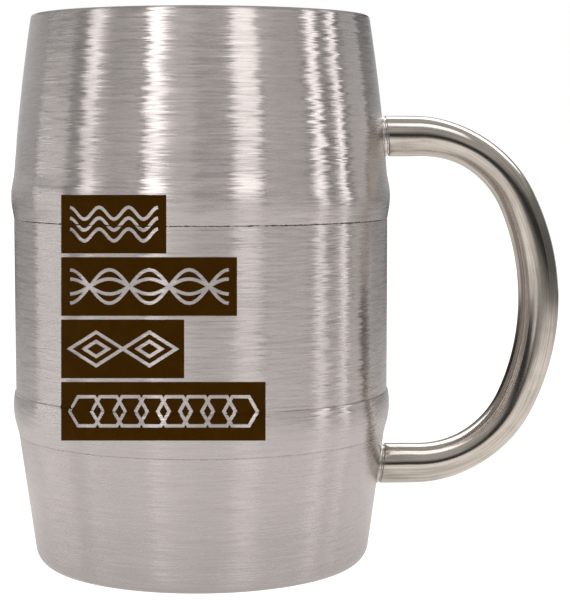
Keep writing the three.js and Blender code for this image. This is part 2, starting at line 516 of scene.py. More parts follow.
# ---- finishes -------------------------------------------------------------------------------
@dataclass(frozen=True)
class BrushedSteel:
    """Sheet brushed round the barrel: reflections stay narrow sideways and run long up and down.

    Attributes:
        name: The finish's name.
        light: Colour of the bare metal.
        shade: Colour in its darker lines and bands.
        roughness: Mean roughness.
        spread: How much the lines vary the roughness.
        smear: How much rougher it is under a smear.
        anisotropy: How far reflections are drawn out across the lines.
        quarter: Turn of the anisotropy, which sets it across the tangent.
        line_share: How far the lines lighten or darken it.
        band_share: How far the bands do.
        density: Lines per metre, roughly.
        run: How quickly a line changes along its length, per metre.
        lean: How far the normal leans sideways from line to line.
        depth: How far it leans up and down from line to line.
        crease_shade: Height and strength of each thin dark line of painted shade along a crease.
        crease_shade_colour: Colour of that painted shade.
        crease_shade_wander: How far such a line strays up and down.
        crease_shade_widest: Half its width where it is widest.
        crease_shade_gap: What is taken off that half, so that the line thins out.
        crease_shade_least: Half its width where it is thinnest.
    """

    name: str
    light: tuple = (0.665, 0.62, 0.61, 1)
    shade: tuple = (0.53, 0.495, 0.485, 1)
    roughness: float = 0.27
    spread: float = 0.06
    smear: float = 0.02
    anisotropy: float = 1
    quarter: float = 0.25
    line_share: float = 0.65
    band_share: float = 0.35
    density: float = 3200
    run: float = 140
    lean: float = 0.17
    depth: float = 0.4
    crease_shade: tuple[Point, ...] = ()
    crease_shade_colour: tuple = (0.03, 0.025, 0.022, 1)
    crease_shade_wander: float = 0.25 * MM
    crease_shade_widest: float = 0.36 * MM
    crease_shade_gap: float = 0.08 * MM
    crease_shade_least: float = 0.03 * MM

    def wear_and_shade(self, n: Nodes, colour: bpy.types.NodeSocket) -> bpy.types.NodeSocket:
        """Paints shade into the colour as a broken thin dark line along each crease.

        Args:
            n: The material's nodes.
            colour: The colour of clean metal.

        Returns:
            The colour with the painted crease shade.
        """
        if not self.crease_shade:
            return colour
        place = n.place()
        height = n.add("SeparateXYZ", {"Vector": place}).outputs["Z"]
        stray = n.math("SUBTRACT", n.noise(place, (700, 700, 0)), 0.5)
        level = n.math("SUBTRACT", height, n.scale(stray, self.crease_shade_wander))
        width = n.scale(n.noise(place, (1500, 1500, 0), 1), self.crease_shade_widest)
        width = n.math("MAXIMUM", n.math("SUBTRACT", width, self.crease_shade_gap), self.crease_shade_least)
        # Painted shade: each listed crease gets a thin dark line in the base colour.
        for crease, strength in self.crease_shade:
            line = n.math("LESS_THAN", n.math("ABSOLUTE", n.math("SUBTRACT", level, crease)), width)
            colour = n.blend(n.scale(line, strength), colour, self.crease_shade_colour)
        return colour

    def material(self) -> bpy.types.Material:
        """Builds the finish.

        Returns:
            The material.
        """
        made, n = new_material(self.name)
        given = {"Line Density": self.density, "Run": self.run, "Lean": self.lean, "Depth": self.depth}
        grain = n.add("Group", given, node_tree=GRAIN).outputs
        marks = n.add("Group", node_tree=HANDLING).outputs
        lines = n.ramp(grain["Lines"], 0.3, 0.7)
        worn = n.scale(grain["Bands"], self.band_share)
        tone = n.math("ADD", n.scale(lines, self.line_share), worn, clamp=True)
        rough = n.math("ADD", self.roughness - self.spread / 2, n.scale(lines, self.spread))
        n.principled(
            Metallic=1,
            Anisotropic=self.anisotropy,
            Anisotropic_Rotation=self.quarter,
            Base_Color=self.wear_and_shade(n, n.blend(tone, self.shade, self.light)),
            Roughness=n.math("ADD", rough, n.scale(marks["Smears"], self.smear)),
            Normal=grain["Normal"],
            Tangent=n.around(n.place()),
        )
        return made


@dataclass(frozen=True)
class PolishedSteel:
    """Belt-polished steel: a clear reflection with a soft edge, faint streaks, smears and hairlines.

    Attributes:
        name: The finish's name.
        light: Colour of the metal.
        shade: Colour in streaks, under smears and in hairlines.
        roughness: Roughness of clean metal.
        ripple: Height in metres of the slight waviness left by polishing.
        waves: Waves of it per metre.
        marks: Smears per metre.
        satin: Streaks per metre along and round the piece, or grains per metre each way.
        smear_share: How far a smear darkens it.
        hairline_share: How far a hairline does.
        satin_share: How far a streak does.
        smear_rough: How much rougher it is under a smear.
        satin_rough: How much rougher it is in a streak.
        streaks: Whether streaks follow the piece's own map, along its length.
    """

    name: str
    light: tuple = (0.69, 0.638, 0.58, 1)
    shade: tuple = (0.4, 0.36, 0.312, 1)
    roughness: float = 0.09
    ripple: float = 0.01 * MM
    waves: float = 160
    marks: float = 110
    satin: Size = (1500, 1500, 1500)
    smear_share: float = 0.25
    hairline_share: float = 0.5
    satin_share: float = 0.6
    smear_rough: float = 0.05
    satin_rough: float = 0.1
    streaks: bool = False

    def material(self) -> bpy.types.Material:
        """Builds the finish.

        Returns:
            The material.
        """
        made, n = new_material(self.name)
        marks = n.add("Group", {"Size": self.marks}, node_tree=HANDLING).outputs
        texture = n.add("TexCoord").outputs
        wave = n.noise(texture["Object"], (self.waves, self.waves, self.waves))
        satin = n.noise(texture["UV" if self.streaks else "Object"], self.satin, 4 if self.streaks else 2)
        wear_and_shade = n.scale(marks["Smears"], self.smear_share)
        wear_and_shade = n.math("ADD", wear_and_shade, n.scale(marks["Hairlines"], self.hairline_share))
        wear_and_shade = n.math("ADD", wear_and_shade, n.scale(n.ramp(satin, 0.4, 0.66), self.satin_share), clamp=True)
        rough = n.math("ADD", self.roughness, n.scale(marks["Smears"], self.smear_rough))
        n.principled(
            Metallic=1,
            Base_Color=n.blend(wear_and_shade, self.light, self.shade),
            Roughness=n.math("ADD", rough, n.scale(satin, self.satin_rough)),
            Normal=n.bump(n.math("ADD", wave, n.scale(satin, 0.1)), self.ripple),
        )
        return made


@dataclass(frozen=True)
class InkFilm:
    """Matt dark brown ink, slightly uneven, with the brushing just showing through.

    Attributes:
        name: The finish's name.
        ink: Colour of a full coat.
        thin: Colour where the coat is thinner.
        clouds: Thin places per metre.
        roughness: Least roughness.
        spread: How much the clouds vary it.
        gloss: Strength of its reflection.
        relief: Height in metres of the brushing felt through it.
    """

    name: str
    ink: tuple = (0.061, 0.0242, 0.0006, 1)
    thin: tuple = (0.07, 0.0285, 0.0012, 1)
    clouds: float = 300
    roughness: float = 0.62
    spread: float = 0.15
    gloss: float = 0.025
    relief: float = 0.01 * MM

    def material(self) -> bpy.types.Material:
        """Builds the finish.

        Returns:
            The material.
        """
        made, n = new_material(self.name)
        grain = n.add("Group", node_tree=GRAIN).outputs
        cloud = n.noise(n.place(), (self.clouds, self.clouds, self.clouds), 3)
        n.principled(
            Specular_IOR_Level=self.gloss,
            Base_Color=n.blend(n.ramp(cloud, 0.4, 0.7), self.ink, self.thin),
            Roughness=n.math("ADD", self.roughness, n.scale(cloud, self.spread)),
            Normal=n.bump(grain["Lines"], self.relief, 0.6),
        )
        return made


def hand_over(piece: bpy.types.Object, finish: bpy.types.Material, slot: str, *nodes: str) -> None:
    """Gives a finished piece its material and body, and hides the CAD nodes that it stands for.

    Args:
        piece: The finished piece.
        finish: Its material.
        slot: Not used.
        nodes: The CAD nodes that it replaces.
    """
    piece.data.materials.clear()
    piece.data.materials.append(finish)
    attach(piece, "root")
    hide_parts(*nodes)
    LOG.info("built %s with %d faces", piece.name, len(piece.data.polygons))


# ---- barrel ---------------------------------------------------------------------------------
@dataclass
class Barrel:
    """The pressed outer shell: two cones, two hoops, two sharp creases and a rounded foot.

    Attributes:
        sheet: Thickness of the sheet.
        hoop_rise: How far a hoop's crest stands out from the middle band.
        hoop_arc: Radius of a hoop's round.
        lower_hoop: Height of the lower hoop's crest, as all heights measured from the foot.
        lower_crease: Height of the crease above it.
        upper_crease: Height of the crease below the upper hoop.
        upper_hoop: Height of the upper hoop's crest.
        upper_round_half: Half the height of the upper hoop's round.
        lead_slope: Slope with which the lower cone runs into the lower hoop.
        lead_height: Height at which that slope starts.
        shoulder: Height at which the upper cone starts.
        shoulder_drop: How far the shoulder lies inside the middle band.
        lip_drop: How far the lip lies inside it.
        cone_bulge: How far the upper cone swells outwards at half its height.
        foot_round: Radius of the foot's round.
        foot_drop: How far that round's centre lies inside the middle band.
        foot_land: Width of the flat that the mug stands on.
        foot_edge_round: Radius of the turned-in edge's inner corner.
        cone_angle: Angle at which the foot's round runs into the lower cone.
        upper_groove: Depth of the upper crease.
        lower_groove: Depth of the lower crease.
        groove_half: Half the width of a crease.
        groove_rise: How far the sheet stands out just above the upper crease.
        groove_margin: Distance from a crease to the support points of its shading.
    """

    sheet: float = 0.6 * MM
    hoop_rise: float = 0.57 * MM
    hoop_arc: float = 15 * MM
    lower_hoop: float = 35.4 * MM
    lower_crease: float = 38.5 * MM
    upper_crease: float = 76.2 * MM
    upper_hoop: float = 80.95 * MM
    upper_round_half: float = 2.65 * MM
    lead_slope: float = 0.263
    lead_height: float = 29.2 * MM
    shoulder: float = 85.8 * MM
    shoulder_drop: float = 0.12 * MM
    lip_drop: float = 4.02 * MM
    cone_bulge: float = 0.32 * MM
    foot_round: float = 4.3 * MM
    foot_drop: float = 8.3 * MM
    foot_land: float = 1.6 * MM
    foot_edge_round: float = 0.2 * MM
    cone_angle: float = -7.6
    upper_groove: float = 0.12 * MM
    lower_groove: float = 0.04 * MM
    groove_half: float = 0.14 * MM
    groove_rise: float = 0.01 * MM
    groove_margin: float = 0.12 * MM

    @property
    def band(self) -> float:
        """Radius of the plain middle band."""
        return HOOP_R - self.hoop_rise

    @property
    def foot_centre(self) -> float:
        """Radius at which the foot's round has its centre."""
        return self.band - self.foot_drop

    @property
    def lip(self) -> float:
        """Outside radius at the lip."""
        return self.band - self.lip_drop

    def hoop_radius(self, z: float, crest: float) -> float:
        """Radius of a hoop's round at a height."""
        return HOOP_R - self.hoop_arc + math.sqrt(self.hoop_arc**2 - (z - crest) ** 2)

    def hoop(self, crest: float, low: float, high: float, steps: int = 18) -> list[Point]:
        """Points of a hoop's round.

        Args:
            crest: Height of its crest.
            low: Height of the first point.
            high: Height of the last point.
            steps: Number of steps between them.

        Returns:
            The points, both ends included.
        """
        heights = [low + (high - low) * i / steps for i in range(steps + 1)]
        return [(self.hoop_radius(z, crest), z) for z in heights]

    def upper_cone(self, steps: int = 20) -> list[Point]:
        """The slightly swollen cone from the shoulder to the lip.

        Args:
            steps: Number of steps along it.

        Returns:
            Its points, both ends included.
        """
        foot = self.band - self.shoulder_drop
        points = []
        for i in range(steps + 1):
            t = i / steps
            swell = self.cone_bulge * 4 * t * (1 - t)
            rise = (LIP_BASE - self.shoulder) * t
            points.append((foot + (self.lip - foot) * t + swell, self.shoulder + rise))
        return points

    @cached_property
    def outside(self) -> list[Point]:
        """The outside of the shell from the foot's flat land up to the lip.

        Returns:
            Its points from the foot up.
        """
        lead_end = self.lower_hoop - self.hoop_arc * math.sin(math.atan(self.lead_slope))
        lead_end_r = self.hoop_radius(lead_end, self.lower_hoop)
        lead_r = lead_end_r - self.lead_slope * (lead_end - self.lead_height)
        foot = round_points(self.foot_centre, self.foot_round, self.foot_round, -90, self.cone_angle, 16)
        low_round = self.upper_hoop - self.upper_round_half
        high_round = self.upper_hoop + self.upper_round_half
        half = self.groove_half
        lower_hoop = self.hoop(self.lower_hoop, lead_end, self.lower_crease - half)
        upper_hoop = self.hoop(self.upper_hoop, low_round, high_round)
        lower_band = (self.band, self.lower_crease + half)
        upper_band = (self.band, self.upper_crease - half)
        above = (self.band + self.groove_rise, self.upper_crease + half)
        return [
            *foot[:-1],
            *straight(foot[-1], (lead_r, self.lead_height)),
            *straight((lead_r, self.lead_height), lower_hoop[0])[1:-1],
            *lower_hoop,
            (self.band - self.lower_groove, self.lower_crease),
            *straight(lower_band, upper_band, self.groove_margin),
            (self.band - self.upper_groove, self.upper_crease),
            *straight(above, upper_hoop[0], self.groove_margin)[:-1],
            *upper_hoop,
            *straight(upper_hoop[-1], (self.band - self.shoulder_drop, self.shoulder))[1:-1],
            *self.upper_cone(),
        ]

    def radius_at(self, z: float) -> float:
        """Finds the barrel's outside at a height.

        Args:
            z: Height above the foot.

        Returns:
            The outside radius there.
        """
        run = self.outside
        for (r0, z0), (r1, z1) in zip(run, run[1:]):
            if z0 <= z <= z1 and z1 > z0:
                return r0 + (r1 - r0) * (z - z0) / (z1 - z0)
        return run[-1][0]

    def outline(self) -> list[Point]:
        """The whole section of the sheet, inside wall included.

        Returns:
            Its corners, up the outside and down the inside.
        """
        heights = (self.shoulder, self.upper_hoop, self.upper_crease, self.lower_crease, self.lower_hoop)
        inner = [(self.radius_at(z) - self.sheet, z) for z in heights]
        inside_round = round_points(
            self.foot_centre, self.foot_round, self.foot_round - self.sheet, self.cone_angle, -90, 8
        )
        edge = self.foot_centre - self.foot_land
        small = self.foot_edge_round
        corner = round_points(edge + small, small, small, 180, 270, 4)
        land = straight(corner[-1], (self.foot_centre, 0), margin=small)[1:-1]
        return [
            *self.outside,
            (self.lip - self.sheet, LIP_BASE),
            *inner,
            *inside_round,
            (edge, self.sheet),
            *corner,
            *land,
        ]

    def build(self, finish: bpy.types.Material) -> None:
        """Turns the shell and dresses it.

        Args:
            finish: The brushed steel of the outside.
        """
        hand_over(turn("barrel_shell", self.outline(), FINE_STEPS), finish, "barrel_steel", "outer_shell")


# ---- liner, lip and base --------------------------------------------------------------------
@dataclass
class Cup:
    """The drinking cup inside the barrel and the rolled ring that joins both walls at the lip.

    Attributes:
        barrel: What they sit in.
        air_gap: Gap between the two walls at the mouth.
        taper: How far the cup narrows from the mouth to its corner.
        corner: Inside radius of the round between its wall and floor.
        floor: Height of its floor.
    """

    barrel: Barrel
    air_gap: float = 0.38 * MM
    taper: float = 1.7 * MM
    corner: float = 8 * MM
    floor: float = 8.6 * MM

    @property
    def lip_half(self) -> float:
        """Half the width of the lip."""
        return self.barrel.sheet + self.air_gap / 2

    @property
    def mouth(self) -> float:
        """Inside radius at the mouth."""
        return self.barrel.lip - 2 * self.lip_half

    def liner_outline(self) -> list[Point]:
        """Section of the liner.

        Returns:
            Its corners from the axis out, up the wall and back.
        """
        sheet = self.barrel.sheet
        corner_r = self.mouth - self.taper - self.corner
        corner_z = self.floor + self.corner
        middle = corner_r / 2
        under = round_points(corner_r, corner_z, self.corner + sheet, -90, 0, 12)
        inside = round_points(corner_r, corner_z, self.corner, 0, -90, 12)
        return [
            (0, self.floor - sheet),
            *straight((middle, self.floor - sheet), under[0])[2:-1],
            *under,
            (self.mouth + sheet, LIP_BASE),
            *straight((self.mouth, LIP_BASE), inside[0], margin=0.5 * MM)[:-1],
            *inside,
            *straight(inside[-1], (middle, self.floor))[1:2],
            (0, self.floor),
        ]

    def lip_outline(self) -> list[Point]:
        """Section of the lip: a half round that spans both walls."""
        centre = self.mouth + self.lip_half
        return round_points(centre, LIP_BASE, self.lip_half, 0, 180, 20)

    def build(self, inside: bpy.types.Material, lip: bpy.types.Material) -> None:
        """Turns the liner and the lip and dresses them.

        Args:
            inside: The liner's steel.
            lip: The lip's steel.
        """
        liner = turn("cup_liner", self.liner_outline(), closed=False)
        hand_over(liner, inside, "liner_steel", "inner_liner")
        hand_over(turn("rolled_lip", self.lip_outline(), FINE_STEPS), lip, "barrel_steel", "lip_ring")


@dataclass
class Base:
    """The plate that closes the foot and the weld that seals it.

    Attributes:
        barrel: What they close.
        clearance: Gap between pieces that are welded.
        fold: How far the plate reaches over the foot's turned-in edge.
        press: How far the plate's middle is pressed up.
        press_rim: Width of the step around it.
        bead: Leg of the weld bead.
        bead_margin: Flat left between bead and step.
        soft: How far the step's bends are eased.
    """

    barrel: Barrel
    clearance: float = 0.05 * MM
    fold: float = 1.4 * MM
    press: float = 0.35 * MM
    press_rim: float = 0.6 * MM
    bead: float = 0.55 * MM
    bead_margin: float = 0.6 * MM
    soft: float = 0.15 * MM

    @property
    def opening(self) -> float:
        """Radius of the hole inside the foot's turned-in edge."""
        return self.barrel.foot_centre - self.barrel.foot_land

    @property
    def seat(self) -> float:
        """Height of the plate's underside where it is seated."""
        return self.barrel.sheet + self.clearance

    def plate_outline(self) -> list[Point]:
        """Section of the plate, its middle pressed up.

        Returns:
            Its corners from the axis out and back.
        """
        step = self.opening - self.bead - self.bead_margin
        inner = step - self.press_rim
        pressed = self.seat + self.press
        soft = self.soft
        under = [
            (0, pressed),
            *straight((inner * 0.9, pressed), (inner - soft, pressed))[1:],
            (inner + soft, pressed - soft / 2),
            (step - soft, self.seat + soft / 2),
            (step + soft, self.seat),
            (self.opening + self.fold, self.seat),
        ]
        return [*under, *[(r, z + self.barrel.sheet) for r, z in reversed(under)]]

    def weld_outline(self) -> list[Point]:
        """Section of the weld bead in the corner between plate and foot.

        Returns:
            Its corners.
        """
        r, z = self.opening - self.clearance, self.seat - self.clearance
        hollow = round_points(r - self.bead, z - self.bead, self.bead * 0.8, 90, 0, 6)
        return [(r, z - self.bead), (r, z), (r - self.bead, z), *hollow[1:-1]]

    def build(self, plate: bpy.types.Material, weld: bpy.types.Material) -> None:
        """Turns the plate and the weld and dresses them.

        Args:
            plate: The plate's steel.
            weld: The bright steel of the bead.
        """
        made = turn("foot_plate", self.plate_outline(), closed=False)
        hand_over(made, plate, "liner_steel", "base_plate")
        hand_over(turn("foot_weld", self.weld_outline()), weld, "weld_steel", "base_weld")


# ---- handle ---------------------------------------------------------------------------------
@dataclass
class Handle:
    """One bent tube, closed by end plates and welded level to the barrel.

    Attributes:
        barrel: What it is welded to.
        tube: Outside radius of the tube.
        wall: Thickness of its wall.
        middle: Height of the handle's middle.
        half_span: Height of a leg above or below it.
        corner_radius: Bend radius of the two corners.
        corner_turn: How far a corner turns.
        weld: Thickness of a weld pad.
        plate: Thickness of an end plate.
        plate_inset: How far an end plate lies inside the tube's outside.
        upper_squeeze: How far the upper corner is flattened on each side.
        lower_squeeze: How far the lower corner is.
        squeeze_leg: Distance from a corner's middle at which the flattening ends, towards the leg.
        squeeze_grip: The same distance towards the grip.
        widening: Share of the flattening by which the tube widens sideways.
        end_round: Width of the round on the cut ends.
        weld_sink: How far a weld pad sinks into the barrel's wall.
        leg_shares: Lengths of a leg's two steps as shares of the leg, from the barrel out.
        corner_steps: Number of steps in a corner.
        grip_steps: Number of steps in the grip.
        sides: Number of sides of the tube.
    """

    barrel: Barrel
    tube: float = 4.47 * MM
    wall: float = 0.8 * MM
    middle: float = 57.65 * MM
    half_span: float = 36.42 * MM
    corner_radius: float = 24.7 * MM
    corner_turn: float = math.radians(64.6)
    weld: float = 0.45 * MM
    plate: float = 0.4 * MM
    plate_inset: float = 0.3 * MM
    upper_squeeze: float = 0.54 * MM
    lower_squeeze: float = 0.33 * MM
    squeeze_leg: float = 17 * MM
    squeeze_grip: float = 36 * MM
    widening: float = 0.8
    end_round: float = 0.12 * MM
    weld_sink: float = 0.3 * MM
    leg_shares: Point = (0.85, 0.15)
    corner_steps: int = 34
    grip_steps: int = 44
    sides: int = 64

    @property
    def grip_radius(self) -> float:
        """Radius of the long bend between the two corners."""
        fall = self.corner_radius * (1 - math.cos(self.corner_turn))
        return (self.half_span - fall) / math.cos(self.corner_turn)

    @property
    def reach(self) -> float:
        """Farthest place of the centre line from the barrel's axis."""
        return GRIP_REACH - self.tube

    @property
    def leg_end(self) -> float:
        """Distance from the axis at which a leg turns into its corner."""
        grip_width = self.grip_radius * (1 - math.sin(self.corner_turn))
        return self.reach - grip_width - self.corner_radius * math.sin(self.corner_turn)

    def lean(self, z: float) -> float:
        """Finds how far the wall behind a leg leans.

        Args:
            z: Height of the leg.

        Returns:
            The angle from upright.
        """
        fall = self.barrel.radius_at(z - self.tube) - self.barrel.radius_at(z + self.tube)
        return math.atan2(fall, 2 * self.tube)

    def wall_normal(self, z: float) -> Vector:
        """Finds the way that the wall behind a leg faces.

        Args:
            z: Height of the leg.

        Returns:
            Its outward normal.
        """
        lean = self.lean(z)
        return Vector((math.cos(lean), 0, math.sin(lean)))

    def wall_point(self, z: float, distance: float) -> Vector:
        """Finds a point in front of the wall behind a leg's centre.

        Args:
            z: Height of the leg.
            distance: Distance from the wall.

        Returns:
            The point.
        """
        return Vector((self.barrel.radius_at(z), 0, z + FOOT_Z)) + self.wall_normal(z) * distance

    def sweep(self) -> bpy.types.Object:
        """Extrudes and spins a ring along leg, corner, grip, corner and leg.

        Returns:
            The tube, without its wall.
        """
        deselect()
        start = self.barrel.lip
        middle = self.middle + FOOT_Z
        top = middle + self.half_span
        bpy.ops.mesh.primitive_circle_add(
            vertices=self.sides, radius=self.tube, location=(start, 0, top), rotation=(0, math.pi / 2, 0),
            calc_uvs=False,
        )
        piece = take_new("handle_bent_tube")
        bpy.ops.object.mode_set(mode="EDIT")
        leg = self.leg_end - start
        for share in self.leg_shares:
            extrude((leg * share, 0, 0))
        corner = (self.leg_end, 0, top - self.corner_radius)
        grip = (self.reach - self.grip_radius, 0, middle)
        mirrored = (self.leg_end, 0, 2 * middle - corner[2])
        bends = (
            (corner, self.corner_turn, self.corner_steps),
            (grip, math.pi - 2 * self.corner_turn, self.grip_steps),
            (mirrored, self.corner_turn, self.corner_steps),
        )
        for centre, angle, steps in bends:
            bpy.ops.mesh.spin(steps=steps, angle=angle, center=centre, axis=(0, -1, 0))
        for share in reversed(self.leg_shares):
            extrude((-leg * share, 0, 0))
        close_up()
        bpy.ops.object.mode_set(mode="OBJECT")
        return piece

    def along(self, x: float, up: float) -> tuple[float, Vector]:
        """Finds a place on the upper half of the centre line.

        Args:
            x: Distance from the barrel's axis.
            up: Height above the handle's middle.

        Returns:
            The distance along the centre line from the middle of the upper corner, negative towards
            the leg, and the nearest point of the centre line as distance and height.
        """
        half_turn = self.corner_turn / 2
        corner = Vector((self.leg_end, self.half_span - self.corner_radius))
        grip = Vector((self.reach - self.grip_radius, 0))
        rise = math.atan2(up, x - grip.x)
        grip_start = math.pi / 2 - self.corner_turn
        if rise <= grip_start:
            distance = half_turn * self.corner_radius + (grip_start - rise) * self.grip_radius
            return distance, grip + Vector((math.cos(rise), math.sin(rise))) * self.grip_radius
        if x >= self.leg_end:
            lean = math.atan2(x - corner.x, up - corner.y)
            distance = (lean - half_turn) * self.corner_radius
            return distance, corner + Vector((math.sin(lean), math.cos(lean))) * self.corner_radius
        return x - self.leg_end - half_turn * self.corner_radius, Vector((x, self.half_span))

    def flatten(self, piece: bpy.types.Object) -> None:
        """Flattens the tube in its two corners as bending does; its vertices are moved in code.

        Args:
            piece: The swept tube.
        """
        for vertex in piece.data.vertices:
            up = vertex.co.z - FOOT_Z - self.middle
            side = 1 if up >= 0 else -1
            distance, centre = self.along(vertex.co.x, abs(up))
            reach = self.squeeze_leg if distance < 0 else self.squeeze_grip
            share = math.cos(math.pi / 2 * min(abs(distance) / reach, 1)) ** 2
            squeeze = share * (self.upper_squeeze if side > 0 else self.lower_squeeze) / self.tube
            offset = Vector((vertex.co.x, abs(up))) - centre
            moved = centre + offset * (1 - squeeze)
            wide = vertex.co.y * (1 + squeeze * self.widening)
            vertex.co = (moved.x, wide, side * moved.y + self.middle + FOOT_Z)

    def map_surface(self, piece: bpy.types.Object) -> None:
        """Gives the tube a map that runs along it and round it, in metres.

        Args:
            piece: The finished tube.
        """
        mesh = piece.data
        layer = mesh.uv_layers.new(name="along_and_round")
        for loop in mesh.loops:
            place = mesh.vertices[loop.vertex_index].co
            up = place.z - FOOT_Z - self.middle
            distance, centre = self.along(place.x, abs(up))
            foot = Vector((place.x, abs(up))) - centre
            inward = -foot.length if foot.dot(centre - Vector((self.leg_end, 0))) < 0 else foot.length
            layer.data[loop.index].uv = (distance, math.atan2(inward, place.y) * self.tube)

    def trim(self, piece: bpy.types.Object) -> None:
        """Cuts both ends in line with the barrel's wall, just clear of the end plates.

        Args:
            piece: The flattened tube.
        """
        pick(piece)
        for side in (1, -1):
            z = self.middle + side * self.half_span
            bpy.ops.object.mode_set(mode="EDIT")
            bpy.ops.mesh.select_all(action="DESELECT")
            bpy.ops.object.mode_set(mode="OBJECT")
            for vertex in piece.data.vertices:
                vertex.select = side * (vertex.co.z - FOOT_Z - self.middle) > 0
            for edge in piece.data.edges:
                edge.select = all(piece.data.vertices[i].select for i in edge.vertices)
            for face in piece.data.polygons:
                face.select = all(piece.data.vertices[i].select for i in face.vertices)
            bpy.ops.object.mode_set(mode="EDIT")
            cut_along(self.wall_point(z, self.weld + self.plate), self.wall_normal(z), clear=True)
        bpy.ops.object.mode_set(mode="OBJECT")

    def thicken(self, piece: bpy.types.Object) -> None:
        """Gives the tube its wall and takes the sharpness off its cut ends.

        Args:
            piece: The trimmed tube.
        """
        add_modifier(piece, "wall", "SOLIDIFY", thickness=self.wall, offset=-1)
        add_modifier(piece, "ends", "BEVEL", width=self.end_round, segments=3, angle_limit=math.radians(50))
        apply_modifiers(piece)

    def disc(self, name: str, z: float, radius: float, low: float, high: float) -> bpy.types.Object:
        """A round plate between two distances from the barrel's wall, its edge rounded.

        Args:
            name: Name of the new piece.
            z: Height of the leg.
            radius: Radius of the plate.
            low: Distance of its back from the wall.
            high: Distance of its front from the wall.

        Returns:
            The plate.
        """
        deselect()
        turn_y = math.pi / 2 - self.lean(z)
        bpy.ops.mesh.primitive_cylinder_add(
            vertices=self.sides, radius=radius, depth=high - low,
            location=self.wall_point(z, (low + high) / 2), rotation=(0, turn_y, 0),
        )
        piece = take_new(name)
        add_modifier(piece, "edge", "BEVEL", width=(high - low) * 0.3, segments=3)
        apply_modifiers(piece)
        smooth(piece, 50)
        return piece

    def build(self, tube: bpy.types.Material, bright: bpy.types.Material) -> None:
        """Bends the tube, adds its end plates and welds, and dresses them.

        Args:
            tube: The polished steel of the tube.
            bright: The steel of plates and welds.
        """
        piece = self.sweep()
        self.flatten(piece)
        self.trim(piece)
        self.thicken(piece)
        self.map_surface(piece)
        smooth(piece, 40)
        hand_over(piece, tube, "handle_steel", "handle_tube")
        for name, side in (("upper", 1), ("lower", -1)):
            z = self.middle + side * self.half_span
            front = self.weld + self.plate
            plate = self.disc(f"{name}_end_plate", z, self.tube - self.plate_inset, self.weld, front)
            hand_over(plate, bright, "weld_steel", f"handle_{name}_end_plate")
            weld = self.disc(f"{name}_weld_pad", z, self.tube, -self.weld_sink, self.weld)
            hand_over(weld, bright, "weld_steel", f"handle_{name}_weld")


# ---- printed bars ---------------------------------------------------------------------------
class Motif(Enum):
    """The ornament left bare in a bar."""

    RIPPLES = "ripples"
    BRAID = "braid"
    DIAMONDS = "diamonds"
    HEXAGONS = "hexagons"


